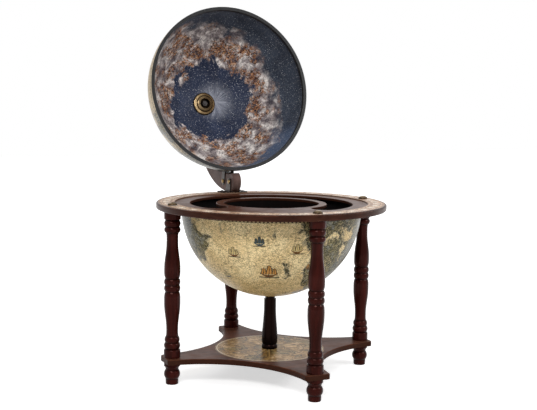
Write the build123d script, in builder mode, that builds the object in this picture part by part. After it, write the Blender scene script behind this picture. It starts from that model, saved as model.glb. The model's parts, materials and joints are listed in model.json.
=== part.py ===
from build123d import *
import os
from math import asin, atan2, cos, pi, radians, sin, sqrt

os.makedirs("parts", exist_ok=True)

# Tabletop globe bar. The lower half of the globe hangs in a horizon ring on four turned posts,
# and the upper half swings back as a lid on a flat meridian arc.
# The origin is the centre of the round bottle opening, on the top face of the insert board.
# +X is right, +Y is the hinge side and +Z is up. Lengths are in millimetres, angles in degrees.

# Globe halves
globe_r = 165.0
shell_wall = 4.0
globe_drop = 8.5  # centre of the bowl below the top of the ring
paper_thick = 0.3
liner_thick = 0.6

# Horizon ring and the printed band let into it
stand_height = 322.0  # table to the top of the ring
ring_width = 45.2
ring_thick = 11.5
ring_round = 3.0
band_margin = 3.5  # bare wood outside the band
band_gap = 1.2  # bare wood between the band and the insert board

# Insert board
ledge_width = 11.0  # how far the board overlaps the ring
insert_thick = 4.5
insert_drop = 2.0  # top of the board below the top of the ring
moat_margin = 16.5  # from the slot's outer edge to the globe's outside
moat_width = 47.0
well_land = 14.5  # between the slot and the bottle opening
moat_start = -65.3  # first end of the slot's centre line, from +X
moat_sweep = 257.4
lip_round = 1.2

# Bottle well and glass shelf inside the bowl
well_margin = 12.3  # from the well tube to the bowl's wall, at the well floor's top
well_floor_thick = 6.0
tube_wall = 3.0
tube_lip = 1.0  # how far the opening's edge overhangs the tube
glass_depth = 84.0
glass_floor_thick = 5.0

# Posts and feet
post_inset = 19.5  # from the ring's edge to a post's centre
collar_r = 14.8
top_collar_height = 12.6
low_collar_height = 13.6
collar_shoulder = 3.6
bead_r = 14.6
low_bead_r = 13.5  # the bead next to the lower neck
bead_pitch = 12.0
groove_r = 12.3
neck_r = 10.6
swell_r = 14.6
waist_r = 12.3
mid_groove_r = 12.9
top_neck_drop = 56.0
top_swell_drop = 101.0
low_neck_rise = 52.0
low_swell_rise = 99.0
foot_height = 39.2
foot_neck_r = 11.6
foot_ball_r = 14.5
foot_toe_r = 11.3
foot_toe_height = 10.5
foot_ball_height = 16.0
foot_collar = 6.0

# Base plate and the printed map let into it
plate_thick = 9.5
plate_margin = 14.8  # beyond a post's centre
plate_waist_r = 110.0
tab_width = 46.2
tab_corner_r = 6.0
plate_round = 1.6
map_margin = 8.7  # from the map to the plate's nearest edge

# Centre column
spacer_r = 9.0
spacer_height = 6.0
column_top_r = 11.1
column_straight = 15.0  # from the column's top to where it starts to swell
column_flare_r = 12.5
column_flare_height = 42.0  # above the column's lowest groove
column_bulge_r = 14.6
column_groove_r = 13.0
column_base_r = 14.6
column_base_height = 8.2
column_bulge_height = 8.7

# Lid and hinge
lid_gap = 0.3  # rim above the insert board when the lid is shut
hoop_height = 8.0
hoop_wall = 2.2
hoop_flange = 1.2
arc_gap = 4.0  # between the lid and the arc
arc_width = 36.6
arc_thick = 16.5
knuckle_r = 20.14
knuckle_gap = 1.36  # between the arc's round end and the ring
arc_rest_gap = 0.54  # between the arc's edge and the ring when the lid is open
arc_round = 2.0
pin_r = 3.0
bush_wall = 2.0
ear_thick = 2.0
ear_gap = 0.4
ear_tip_r = 6.5
ear_heel = 21.0  # from the pin back to the bracket's end
flange_width = 17.4
flange_corner_r = 4.0
pin_head_r = 5.0
pin_head_height = 2.4
pin_cap_bore = 1.5

# Angles between the arc and the lid
rim_angle = 17.6  # up from the rim, measured round the globe
rim_bolt_inset = 18.0  # from the arc's inner edge
rim_bolt_r = 2.5
rim_head_r = 4.5
rim_head_height = 2.6
rim_nut_bore = 1.5
rim_plate = 1.6
rim_width = 15.0
rim_foot_length = 15.5
rim_screw_bite = 3.4  # into the lid's shell

# Pole fittings
pole_bolt_r = 3.0
pole_spacer_r = 8.0
pole_head_r = 9.0
pole_head_height = 6.5
pole_bolt_end = 1.0  # past the nut
cup_r = 24.0
cup_step_r = 17.0
cup_groove = 1.8
cup_hole_r = 10.0
cup_back = 2.0
cup_flange_height = 4.5
cup_step_height = 8.0

# Fasteners
rod_r = 3.0
rod_head_r = 6.5
rod_head_height = 4.0
washer_r = 12.0
washer_thick = 2.0
nut_across = 10.0
nut_height = 5.0
dowel_reach = 24.0  # into the post and into the foot
ring_screw_r = 2.5
ring_screw_head_r = 5.0
ring_screw_length = 42.0
ring_cap_r = 8.8
ring_cap_height = 5.6
small_screw_r = 1.5
small_head_r = 3.0
small_head_height = 1.7
hinge_screw_length = 8.0
insert_screw_bite = 3.0  # into the insert board
fit_gap = 0.1
seat_gap = 0.3

# Radii and levels that follow
bowl_inner_r = globe_r - shell_wall
insert_r = globe_r + ledge_width
moat_r = globe_r - moat_margin
well_land_r = moat_r - moat_width
well_r = well_land_r - well_land
tube_outer_r = well_r + tube_lip + tube_wall
ring_r = globe_r + seat_gap + ring_width
band_outer_r = ring_r - band_margin
band_inner_r = insert_r + seat_gap + band_gap
post_circle_r = ring_r - post_inset
plate_reach = post_circle_r + plate_margin
map_r = plate_waist_r - map_margin
insert_screw_circle_r = (globe_r + insert_r) / 2
ring_top = insert_drop
ring_bottom = ring_top - ring_thick
table_z = ring_top - stand_height
plate_bottom = table_z + foot_height
plate_top = plate_bottom + plate_thick
globe_z = ring_top - globe_drop
bowl_bottom = globe_z - globe_r
well_depth = sqrt(bowl_inner_r**2 - (tube_outer_r + well_margin) ** 2) - globe_z
column_top = bowl_bottom - spacer_height
washer_z = globe_z - sqrt((bowl_inner_r - fit_gap) ** 2 - washer_r**2)
rod_length = washer_z + washer_thick + nut_height + rod_r - plate_bottom
post_top = ring_bottom
post_bottom = plate_top

# The pin lies on the arc's end, and the open lid leans back until its arc is just above the ring
arc_inner_r = globe_r + arc_gap
arc_outer_r = arc_inner_r + arc_width
rim_bolt_radius = arc_inner_r + rim_bolt_inset
hinge_z = ring_top + knuckle_gap + knuckle_r
pin_radius = arc_outer_r - knuckle_r  # from the lid's centre
hinge_y = sqrt(pin_radius**2 - (hinge_z - lid_gap) ** 2)
pin_angle = atan2(hinge_z - lid_gap, hinge_y)
tilt = pi + pin_angle - asin(1 - (knuckle_gap - arc_rest_gap) / pin_radius)
ear_inner_x = arc_thick / 2 + ear_gap
ear_outer_x = ear_inner_x + ear_thick
ear_front_y = hinge_y - ear_tip_r
ear_rear_y = hinge_y + ear_heel
screw_x = ear_outer_x + flange_width / 2
screw_ys = (ear_front_y + 7.5, ear_rear_y - 6.5)

# The circles that hollow the base plate's sides pass through its waist and its tabs' corners
tab_half = tab_width / 2
hollow_centre = (plate_reach**2 + tab_half**2 - plate_waist_r**2) / (
    2 * (plate_reach + tab_half - sqrt(2) * plate_waist_r)
)
hollow_r = sqrt(2) * hollow_centre - plate_waist_r

POST_ANGLES = {"front": -90, "right": 0, "back": 90, "left": 180}
SIDES = {"left": -1, "right": 1}
pieces = {}


def upright(x, y):
    """Section plane of a turned piece that stands at x, y: local x is its radius, local y is up."""
    return Plane(origin=(x, y, 0), x_dir=(1, 0, 0), z_dir=(0, -1, 0))


def around(angle, radius):
    """The point at an angle and radius about the stand's axis."""
    return radius * cos(radians(angle)), radius * sin(radians(angle))


def half_post(end, sense, collar, neck, swell, last_bead_r):
    """One half of a post's outline, from its end at a height to the groove at mid length.

    sense is -1 for the upper half, which runs down, and 1 for the lower half. collar, neck and
    swell are the distances of the collar's edge and the thinnest and thickest places from the
    end. last_bead_r is the radius of the bead next to the neck.
    """
    middle = (post_top + post_bottom) / 2
    shoulder = end + sense * (collar + 2 - collar_shoulder)
    first = end + sense * (collar + 2)
    second = first + sense * bead_pitch
    third = second + sense * (bead_pitch - 1)
    waist = middle - sense * bead_pitch
    neck_z = end + sense * neck
    swell_z = end + sense * swell
    Line((0, end), (collar_r, end))
    Line((collar_r, end), (collar_r, shoulder))
    Spline((collar_r, shoulder), (groove_r, first), tangents=[(0, sense), (-1, 0.5 * sense)])
    ThreePointArc((groove_r, first), (bead_r, (first + second) / 2), (groove_r, second))
    ThreePointArc((groove_r, second), (last_bead_r, (second + third) / 2), (groove_r - 1, third))
    Spline((groove_r - 1, third), (neck_r, neck_z), tangents=[(-1, 4 * sense), (0, sense)])
    Spline((neck_r, neck_z), (swell_r, swell_z), tangents=[(0, sense), (0, sense)])
    Spline((swell_r, swell_z), (waist_r, waist), tangents=[(0, sense), (-1, 1.5 * sense)])
    ThreePointArc(
        (waist_r, waist), (bead_r, waist + sense * bead_pitch / 2), (mid_groove_r, middle)
    )


def dome(seat, radius, height):
    """A low dome that stands on a plane, centred on the plane's origin."""
    section = Plane(seat.origin, x_dir=seat.x_dir, z_dir=-seat.y_dir)
    with BuildSketch(section, mode=Mode.PRIVATE) as cap:
        with BuildLine():
            Line((0, 0), (radius, 0))
            Spline(
                (radius, 0),
                (radius * 0.72, height * 0.72),
                (0, height),
                tangents=[(0, 1), (-1, 0)],
            )
            Line((0, height), (0, 0))
        make_face()
    revolve(cap.sketch, axis=Axis(seat.origin, seat.z_dir))


# Ring, band and insert

with BuildPart() as horizon_ring:
    with BuildSketch(Plane.XY.offset(ring_bottom)):
        Circle(ring_r)
        Circle(globe_r + seat_gap, mode=Mode.SUBTRACT)
    extrude(amount=ring_thick)
    rim_edges = horizon_ring.faces().filter_by(GeomType.CYLINDER).sort_by(SortBy.AREA)[-1].edges()
    fillet(rim_edges.filter_by(GeomType.CIRCLE), ring_round)
    with BuildSketch(Plane.XY.offset(-insert_thick)):
        Circle(insert_r + seat_gap)
    extrude(amount=insert_thick + insert_drop, mode=Mode.SUBTRACT)
    with BuildSketch(Plane.XY.offset(ring_top - paper_thick)):
        Circle(band_outer_r + fit_gap)
        Circle(band_inner_r - fit_gap, mode=Mode.SUBTRACT)
    extrude(amount=paper_thick, mode=Mode.SUBTRACT)
    with Locations(Plane.XY.offset(ring_top)):
        with PolarLocations(post_circle_r, 4):
            CounterSinkHole(ring_screw_r + fit_gap, ring_screw_head_r + fit_gap, None, 90)
    with Locations(*[(side * screw_x, y, ring_top) for side in SIDES.values() for y in screw_ys]):
        Hole(small_screw_r + fit_gap, hinge_screw_length)
    with Locations(Plane.XY.offset(-insert_thick)):
        with PolarLocations(insert_screw_circle_r, 4, start_angle=45):
            Hole(small_screw_r + fit_gap)
pieces["horizon_ring"] = horizon_ring

with BuildPart() as horizon_band:
    with BuildSketch(Plane.XY.offset(ring_top - paper_thick)):
        Circle(band_outer_r)
        Circle(band_inner_r, mode=Mode.SUBTRACT)
        with PolarLocations(post_circle_r, 4):
            Circle(ring_screw_head_r + fit_gap, mode=Mode.SUBTRACT)
        with Locations(*[(side * screw_x, y) for side in SIDES.values() for y in screw_ys]):
            Circle(small_screw_r + fit_gap, mode=Mode.SUBTRACT)
    extrude(amount=paper_thick)
pieces["horizon_band"] = horizon_band

with BuildLine() as moat_line:
    CenterArc((0, 0), (well_land_r + moat_r) / 2, moat_start, moat_sweep)

with BuildPart() as insert_board:
    with BuildSketch(Plane.XY.offset(-insert_thick)):
        Circle(insert_r)
        Circle(well_r, mode=Mode.SUBTRACT)
        SlotArc(moat_line.edge(), moat_r - well_land_r, mode=Mode.SUBTRACT)
    extrude(amount=insert_thick)
    top_edges = insert_board.faces().sort_by(Axis.Z)[-1].inner_wires().edges()
    fillet(top_edges, lip_round)
    with Locations(Plane.XY.offset(-insert_thick).rotated((180, 0, 0))):
        with PolarLocations(insert_screw_circle_r, 4, start_angle=45):
            Hole(small_screw_r + fit_gap, insert_screw_bite)
pieces["insert_board"] = insert_board

with BuildPart() as insert_screws:
    with BuildSketch(Plane.XY.offset(ring_bottom - small_head_height)):
        with PolarLocations(insert_screw_circle_r, 4, start_angle=45):
            Circle(small_head_r)
    extrude(amount=small_head_height)
    fillet(insert_screws.edges().group_by(Axis.Z)[0], small_head_height * 0.6)
    with BuildSketch(Plane.XY.offset(ring_bottom)):
        with PolarLocations(insert_screw_circle_r, 4, start_angle=45):
            Circle(small_screw_r)
    extrude(amount=-insert_thick - ring_bottom + insert_screw_bite - fit_gap)
pieces["insert_screws"] = insert_screws

# Bowl, with the bottle well and the glass shelf in it

with BuildPart() as bowl_shell:
    with BuildSketch(Plane.XZ):
        with Locations((0, globe_z)):
            Circle(globe_r)
        with Locations((0, globe_z)):
            Rectangle(globe_r, globe_r, align=(Align.MIN, Align.MAX), mode=Mode.INTERSECT)
            Rectangle(globe_r, -insert_thick - globe_z, align=(Align.MIN, Align.MIN))
            Circle(bowl_inner_r, mode=Mode.SUBTRACT)
            Rectangle(bowl_inner_r, globe_r, align=(Align.MIN, Align.MIN), mode=Mode.SUBTRACT)
    revolve(axis=Axis.Z)
    with Locations((0, 0, globe_z)):
        Hole(rod_r + fit_gap, globe_r + 1)
pieces["bowl_shell"] = bowl_shell

with BuildPart() as well_floor:
    with Locations((0, 0, -well_depth)):
        Cylinder(globe_r, well_floor_thick, align=(Align.CENTER, Align.CENTER, Align.MAX))
    with Locations((0, 0, globe_z)):
        Sphere(bowl_inner_r - fit_gap, mode=Mode.INTERSECT)
pieces["well_floor"] = well_floor

with BuildPart() as well_tube:
    with BuildSketch(Plane.XY.offset(-well_depth)):
        Circle(tube_outer_r)
        Circle(well_r + tube_lip, mode=Mode.SUBTRACT)
    extrude(amount=well_depth - insert_thick)
pieces["well_tube"] = well_tube

with BuildPart() as glass_floor:
    with Locations((0, 0, -glass_depth)):
        Cylinder(globe_r, glass_floor_thick, align=(Align.CENTER, Align.CENTER, Align.MAX))
    with Locations((0, 0, globe_z)):
        Sphere(bowl_inner_r - fit_gap, mode=Mode.INTERSECT)
    with Locations((0, 0, -glass_depth)):
        Hole(tube_outer_r + fit_gap)
pieces["glass_floor"] = glass_floor

# Posts and feet

with BuildPart() as ring_screws:
    with PolarLocations(post_circle_r, 4):
        with Locations((0, 0, ring_top)):
            Cylinder(
                ring_screw_r, ring_screw_length, align=(Align.CENTER, Align.CENTER, Align.MAX)
            )
            Cone(
                0,
                ring_screw_head_r,
                ring_screw_head_r,
                align=(Align.CENTER, Align.CENTER, Align.MAX),
            )
pieces["ring_screws"] = ring_screws

with BuildPart() as ring_caps:
    for side in ("front", "right", "left"):
        x, y = around(POST_ANGLES[side], post_circle_r)
        dome(Plane((x, y, ring_top)), ring_cap_r, ring_cap_height)
pieces["ring_caps"] = ring_caps

with BuildPart() as foot_dowels:
    with PolarLocations(post_circle_r, 4):
        with Locations((0, 0, plate_bottom - dowel_reach)):
            Cylinder(
                rod_r,
                plate_thick + 2 * dowel_reach,
                align=(Align.CENTER, Align.CENTER, Align.MIN),
            )
pieces["foot_dowels"] = foot_dowels

for side, angle in POST_ANGLES.items():
    x, y = around(angle, post_circle_r)
    with BuildPart() as post:
        with BuildSketch(upright(x, y)):
            with BuildLine():
                half_post(
                    post_top, -1, top_collar_height, top_neck_drop, top_swell_drop, bead_r
                )
                half_post(
                    post_bottom, 1, low_collar_height, low_neck_rise, low_swell_rise, low_bead_r
                )
                Line((0, post_top), (0, post_bottom))
            make_face()
        revolve(axis=Axis((x, y, 0), (0, 0, 1)))
        with Locations((x, y, post_top)):
            Hole(ring_screw_r + fit_gap, ring_screw_length - ring_thick + 2)
        with Locations(Plane((x, y, post_bottom), z_dir=(0, 0, -1))):
            Hole(rod_r + fit_gap, dowel_reach + 1)
    pieces[f"post_{side}"] = post

for side, angle in POST_ANGLES.items():
    x, y = around(angle, post_circle_r)
    with BuildPart() as foot:
        with BuildSketch(upright(x, y)):
            with BuildLine():
                toe_top = table_z + foot_toe_height
                ball_top = toe_top + foot_ball_height
                Line((0, plate_bottom), (foot_ball_r, plate_bottom))
                Line((foot_ball_r, plate_bottom), (foot_ball_r, plate_bottom - foot_collar))
                Spline(
                    (foot_ball_r, plate_bottom - foot_collar),
                    (foot_neck_r, ball_top),
                    tangents=[(-1, -1), (0, -1)],
                )
                ThreePointArc(
                    (foot_neck_r, ball_top),
                    (foot_ball_r, (ball_top + toe_top) / 2),
                    (foot_neck_r, toe_top),
                )
                Line((foot_neck_r, toe_top), (foot_toe_r, table_z))
                Line((foot_toe_r, table_z), (0, table_z))
                Line((0, table_z), (0, plate_bottom))
            make_face()
        revolve(axis=Axis((x, y, 0), (0, 0, 1)))
        chamfer(foot.edges().group_by(Axis.Z)[0], 0.8)
        with Locations((x, y, plate_bottom)):
            Hole(rod_r + fit_gap, dowel_reach + 1)
    pieces[f"foot_{side}"] = foot

# Base plate, map and column

with BuildPart() as base_plate:
    with BuildSketch(Plane.XY.offset(plate_bottom)) as plate_outline:
        Rectangle(2 * plate_reach, 2 * plate_reach)
        with PolarLocations(plate_waist_r + hollow_r, 4, start_angle=45):
            Circle(hollow_r, mode=Mode.SUBTRACT)
        fillet(plate_outline.vertices(), tab_corner_r)
    extrude(amount=plate_thick)
    fillet(base_plate.faces().sort_by(Axis.Z)[-1].edges(), plate_round)
    with BuildSketch(Plane.XY.offset(plate_top - paper_thick)):
        Circle(map_r + fit_gap)
    extrude(amount=paper_thick, mode=Mode.SUBTRACT)
    with Locations((0, 0, plate_top)):
        Hole(rod_r + fit_gap)
        with PolarLocations(post_circle_r, 4):
            Hole(rod_r + fit_gap)
pieces["base_plate"] = base_plate

with BuildPart() as base_map:
    with BuildSketch(Plane.XY.offset(plate_top - paper_thick)):
        Circle(map_r)
        Circle(rod_r + fit_gap, mode=Mode.SUBTRACT)
    extrude(amount=paper_thick)
pieces["base_map"] = base_map

with BuildPart() as centre_column:
    with BuildSketch(Plane.XZ):
        with BuildLine():
            groove_z = plate_top + column_base_height
            Line((0, column_top), (column_top_r, column_top))
            Line((column_top_r, column_top), (column_top_r, column_top - column_straight))
            Spline(
                (column_top_r, column_top - column_straight),
                (column_flare_r, groove_z + column_flare_height),
                (column_bulge_r, groove_z + column_bulge_height),
                (column_groove_r, groove_z),
                tangents=[(0, -1), (-1, -1)],
            )
            ThreePointArc(
                (column_groove_r, groove_z),
                (column_base_r, plate_top + column_base_height / 2),
                (column_base_r - 0.8, plate_top),
            )
            Line((column_base_r - 0.8, plate_top), (0, plate_top))
            Line((0, plate_top), (0, column_top))
        make_face()
    revolve(axis=Axis.Z)
    with Locations((0, 0, column_top)):
        Hole(rod_r + fit_gap)
pieces["centre_column"] = centre_column

with BuildPart() as bowl_spacer:
    with Locations((0, 0, column_top)):
        Cylinder(
            spacer_r, spacer_height + 1, align=(Align.CENTER, Align.CENTER, Align.MIN)
        )
        Cylinder(rod_r + fit_gap, globe_r, mode=Mode.SUBTRACT)
    with Locations((0, 0, globe_z)):
        Sphere(globe_r + fit_gap, mode=Mode.SUBTRACT)
pieces["bowl_spacer"] = bowl_spacer

with BuildPart() as tie_rod:
    with Locations((0, 0, plate_bottom)):
        Cylinder(rod_head_r, rod_head_height, align=(Align.CENTER, Align.CENTER, Align.MAX))
        fillet(tie_rod.edges().group_by(Axis.Z)[0], rod_head_height * 0.5)
        Cylinder(rod_r, rod_length, align=(Align.CENTER, Align.CENTER, Align.MIN))
pieces["tie_rod"] = tie_rod

with BuildPart() as tie_washer:
    with BuildSketch(Plane.XY.offset(washer_z)):
        Circle(washer_r)
        Circle(rod_r + fit_gap, mode=Mode.SUBTRACT)
    extrude(amount=washer_thick)
pieces["tie_washer"] = tie_washer

with BuildPart() as tie_nut:
    with BuildSketch(Plane.XY.offset(washer_z + washer_thick)):
        RegularPolygon(nut_across / 2, 6, major_radius=False)
        Circle(rod_r + fit_gap, mode=Mode.SUBTRACT)
    extrude(amount=nut_height)
pieces["tie_nut"] = tie_nut

# Hinge on the ring

hinge_line = Plane((0, hinge_y, hinge_z), x_dir=(0, 1, 0), z_dir=(1, 0, 0))

for side, sense in SIDES.items():
    with BuildPart() as hinge_bracket:
        with BuildSketch(Plane.YZ.offset(sense * ear_inner_x)) as ear:
            Polygon(
                (ear_front_y, ring_top),
                (ear_rear_y, ring_top),
                (hinge_y + ear_tip_r, hinge_z + ear_tip_r),
                (ear_front_y, hinge_z + ear_tip_r),
                align=None,
            )
            fillet(ear.vertices().group_by(Axis.Z)[-1], ear_tip_r * 0.9)
        extrude(amount=sense * ear_thick)
        with BuildSketch(Plane.XY.offset(ring_top)) as flange:
            with Locations((sense * ear_inner_x, (ear_front_y + ear_rear_y) / 2)):
                Rectangle(
                    ear_thick + flange_width,
                    ear_rear_y - ear_front_y,
                    align=(Align.MIN if sense > 0 else Align.MAX, Align.CENTER),
                )
            fillet(flange.vertices().sort_by(Axis.X)[:: sense][-2:], flange_corner_r)
        extrude(amount=ear_thick)
        with Locations(*[(sense * screw_x, y, ring_top + ear_thick) for y in screw_ys]):
            Hole(small_screw_r + fit_gap, 2 * ear_thick)
        with Locations(hinge_line):
            Cylinder(pin_r + fit_gap / 2, 4 * ear_outer_x, mode=Mode.SUBTRACT)
    pieces[f"hinge_bracket_{side}"] = hinge_bracket

with BuildPart() as hinge_screws:
    for sense in SIDES.values():
        for y in screw_ys:
            seat = Plane((sense * screw_x, y, ring_top + ear_thick))
            dome(seat, small_head_r, small_head_height)
            with Locations(seat):
                Cylinder(
                    small_screw_r,
                    hinge_screw_length,
                    align=(Align.CENTER, Align.CENTER, Align.MAX),
                )
pieces["hinge_screws"] = hinge_screws

with BuildPart() as hinge_pin:
    dome(Plane((-ear_outer_x, hinge_y, hinge_z), z_dir=(-1, 0, 0)), pin_head_r, pin_head_height)
    with Locations(hinge_line.offset(-ear_outer_x)):
        Cylinder(
            pin_r, 2 * ear_outer_x + pin_cap_bore, align=(Align.CENTER, Align.CENTER, Align.MIN)
        )
pieces["hinge_pin"] = hinge_pin

with BuildPart() as hinge_pin_cap:
    dome(hinge_line.offset(ear_outer_x), pin_head_r, pin_head_height + pin_cap_bore)
    with Locations(hinge_line.offset(ear_outer_x)):
        Cylinder(pin_r, 2 * pin_cap_bore, mode=Mode.SUBTRACT)
pieces["hinge_pin_cap"] = hinge_pin_cap

# Lid. Its own plane has its origin at the globe's centre and its z through the pole, so the plane
# is level when the lid is shut. Here it is swung back about the pin by the angle tilt.

lid_y = hinge_y - hinge_y * cos(tilt) + (lid_gap - hinge_z) * sin(tilt)
lid_z = hinge_z + hinge_y * sin(tilt) + (lid_gap - hinge_z) * cos(tilt)
lid = Plane((0, lid_y, lid_z), x_dir=(1, 0, 0), z_dir=(0, sin(tilt), cos(tilt)))
lid_section = Plane(lid.origin, x_dir=lid.x_dir, z_dir=-lid.y_dir)
lid_side = Plane(lid.origin, x_dir=lid.y_dir, z_dir=lid.x_dir)
pole = Axis(lid.origin, lid.z_dir)

pin_place = (hinge_y, hinge_z - lid_gap)
arc_middle_r = (arc_outer_r + arc_inner_r) / 2
rim_slope = radians(rim_angle)
rim_ray = lid.y_dir * cos(rim_slope) + lid.z_dir * sin(rim_slope)
rim_bolt_place = (rim_bolt_radius * cos(rim_slope), rim_bolt_radius * sin(rim_slope))
rim_frame = Plane(lid.origin, x_dir=lid.x_dir, z_dir=rim_ray)
rim_foot_r = globe_r + fit_gap
rim_plate_x = arc_thick / 2 + fit_gap
rim_outer_x = rim_plate_x + rim_plate
rim_screw_x = rim_outer_x + rim_foot_length / 2
lid_inner_r = globe_r - shell_wall
liner_outer_r = lid_inner_r - fit_gap
liner_inner_r = liner_outer_r - liner_thick


def rim_screw_seat(sense, radius):
    """Plane at a radius from the lid's centre, facing out along a rim bracket's screw."""
    outward = lid.x_dir * (sense * rim_screw_x) + rim_ray * sqrt(globe_r**2 - rim_screw_x**2)
    return Plane(lid.origin + outward * (radius / globe_r), z_dir=outward)


with BuildPart() as lid_shell:
    with BuildSketch(lid_section):
        Circle(globe_r)
        with Locations((0, hoop_flange)):
            Rectangle(globe_r, globe_r, align=(Align.MIN, Align.MIN), mode=Mode.INTERSECT)
        Circle(lid_inner_r, mode=Mode.SUBTRACT)
    revolve(axis=pole)
    with Locations(lid.offset(globe_r)):
        Hole(pole_bolt_r + fit_gap, globe_r / 2)
    with Locations(*[rim_screw_seat(sense, globe_r) for sense in SIDES.values()]):
        Hole(small_screw_r + fit_gap, rim_screw_bite)
pieces["lid_shell"] = lid_shell

with BuildPart() as lid_liner:
    with BuildSketch(lid_section):
        Circle(liner_outer_r)
        with Locations((0, hoop_height + seat_gap)):
            Rectangle(globe_r, globe_r, align=(Align.MIN, Align.MIN), mode=Mode.INTERSECT)
        Circle(liner_inner_r, mode=Mode.SUBTRACT)
    revolve(axis=pole)
    with Locations(lid.offset(globe_r)):
        Hole(pole_bolt_r + fit_gap, globe_r / 2)
pieces["lid_liner"] = lid_liner

hoop_outer_r = sqrt(lid_inner_r**2 - hoop_height**2) - fit_gap

with BuildPart() as lid_rim_hoop:
    with BuildSketch(lid):
        Circle(sqrt(globe_r**2 - hoop_flange**2))
        Circle(hoop_outer_r - hoop_wall, mode=Mode.SUBTRACT)
    extrude(amount=hoop_flange)
    with BuildSketch(lid):
        Circle(hoop_outer_r)
        Circle(hoop_outer_r - hoop_wall, mode=Mode.SUBTRACT)
    extrude(amount=hoop_height)
pieces["lid_rim_hoop"] = lid_rim_hoop

# Meridian arc and its bush

with BuildPart() as meridian_arc:
    with BuildSketch(lid_side):
        Circle(arc_outer_r)
        reach = 2 * arc_outer_r
        Polygon(
            (0, 0),
            (reach * cos(pin_angle), reach * sin(pin_angle)),
            (reach, reach),
            (0, reach),
            align=None,
            mode=Mode.INTERSECT,
        )
        with Locations(pin_place):
            Circle(knuckle_r)
        with Locations((0, arc_middle_r)):
            Circle((arc_outer_r - arc_inner_r) / 2)
        Circle(arc_inner_r, mode=Mode.SUBTRACT)
    extrude(amount=arc_thick / 2, both=True)
    fillet(meridian_arc.faces().filter_by(Axis.X).edges(), arc_round)
    with Locations(lid_side):
        with Locations(pin_place):
            Cylinder(pin_r + bush_wall, arc_thick, mode=Mode.SUBTRACT)
        with Locations(rim_bolt_place):
            Cylinder(rim_bolt_r + fit_gap, arc_thick, mode=Mode.SUBTRACT)
    with Locations(lid.offset(arc_outer_r)):
        Hole(pole_bolt_r + fit_gap, 2 * (arc_outer_r - arc_inner_r))
pieces["meridian_arc"] = meridian_arc

with BuildPart() as hinge_bush:
    with BuildSketch(lid_side):
        with Locations(pin_place):
            Circle(pin_r + bush_wall)
            Circle(pin_r + fit_gap / 2, mode=Mode.SUBTRACT)
    extrude(amount=arc_thick / 2, both=True)
pieces["hinge_bush"] = hinge_bush

# Angle brackets from the arc to the lid's rim

for side, sense in SIDES.items():
    with BuildPart() as rim_bracket:
        with Locations(rim_frame):
            Sphere(rim_foot_r + rim_plate)
            Sphere(rim_foot_r, mode=Mode.SUBTRACT)
            with Locations((sense * rim_plate_x, 0, 0)):
                Box(
                    rim_plate + rim_foot_length,
                    rim_width,
                    2 * globe_r,
                    align=(Align.MIN if sense > 0 else Align.MAX, Align.CENTER, Align.MIN),
                    mode=Mode.INTERSECT,
                )
        with BuildSketch(lid_side.offset(sense * rim_plate_x)):
            Rectangle(
                rim_bolt_radius, rim_width, rotation=rim_angle, align=(Align.MIN, Align.CENTER)
            )
            with Locations(rim_bolt_place):
                Circle(rim_width / 2)
                Circle(rim_bolt_r + fit_gap, mode=Mode.SUBTRACT)
            Circle(rim_foot_r, mode=Mode.SUBTRACT)
        extrude(amount=sense * rim_plate)
        with Locations(rim_screw_seat(sense, rim_foot_r + rim_plate)):
            Hole(small_screw_r + fit_gap, 2 * rim_plate)
    pieces[f"rim_bracket_{side}"] = rim_bracket

with BuildPart() as rim_bracket_screws:
    for sense in SIDES.values():
        seat = rim_screw_seat(sense, rim_foot_r + rim_plate)
        dome(seat, small_head_r, small_head_height)
        with Locations(seat):
            Cylinder(
                small_screw_r,
                rim_foot_r + rim_plate - globe_r + rim_screw_bite - fit_gap,
                align=(Align.CENTER, Align.CENTER, Align.MAX),
            )
pieces["rim_bracket_screws"] = rim_bracket_screws

rim_bolt_line = Plane(
    lid.origin + rim_ray * rim_bolt_radius, x_dir=lid.y_dir, z_dir=lid.x_dir
)

with BuildPart() as rim_bracket_bolt:
    head_seat = rim_bolt_line.offset(-rim_outer_x)
    dome(
        Plane(head_seat.origin, x_dir=lid.y_dir, z_dir=-lid.x_dir), rim_head_r, rim_head_height
    )
    with Locations(head_seat):
        Cylinder(
            rim_bolt_r,
            2 * rim_outer_x + rim_nut_bore,
            align=(Align.CENTER, Align.CENTER, Align.MIN),
        )
pieces["rim_bracket_bolt"] = rim_bracket_bolt

with BuildPart() as rim_bracket_nut:
    dome(rim_bolt_line.offset(rim_outer_x), rim_head_r, rim_head_height + rim_nut_bore)
    with Locations(rim_bolt_line.offset(rim_outer_x)):
        Cylinder(rim_bolt_r, 2 * rim_nut_bore, mode=Mode.SUBTRACT)
pieces["rim_bracket_nut"] = rim_bracket_nut

# Fittings at the lid's pole

cup_seat = sqrt(liner_inner_r**2 - cup_r**2)
cup_floor = cup_seat - cup_back
cup_flange = cup_seat - cup_flange_height
cup_mouth = cup_seat - cup_step_height

with BuildPart() as pole_spacer:
    with Locations(lid.offset(sqrt((arc_inner_r - fit_gap) ** 2 - pole_spacer_r**2))):
        Cylinder(
            pole_spacer_r,
            2 * (arc_inner_r - globe_r),
            align=(Align.CENTER, Align.CENTER, Align.MAX),
        )
        Hole(pole_bolt_r + fit_gap)
    with Locations(lid):
        Sphere(globe_r + fit_gap, mode=Mode.SUBTRACT)
pieces["pole_spacer"] = pole_spacer

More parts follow.
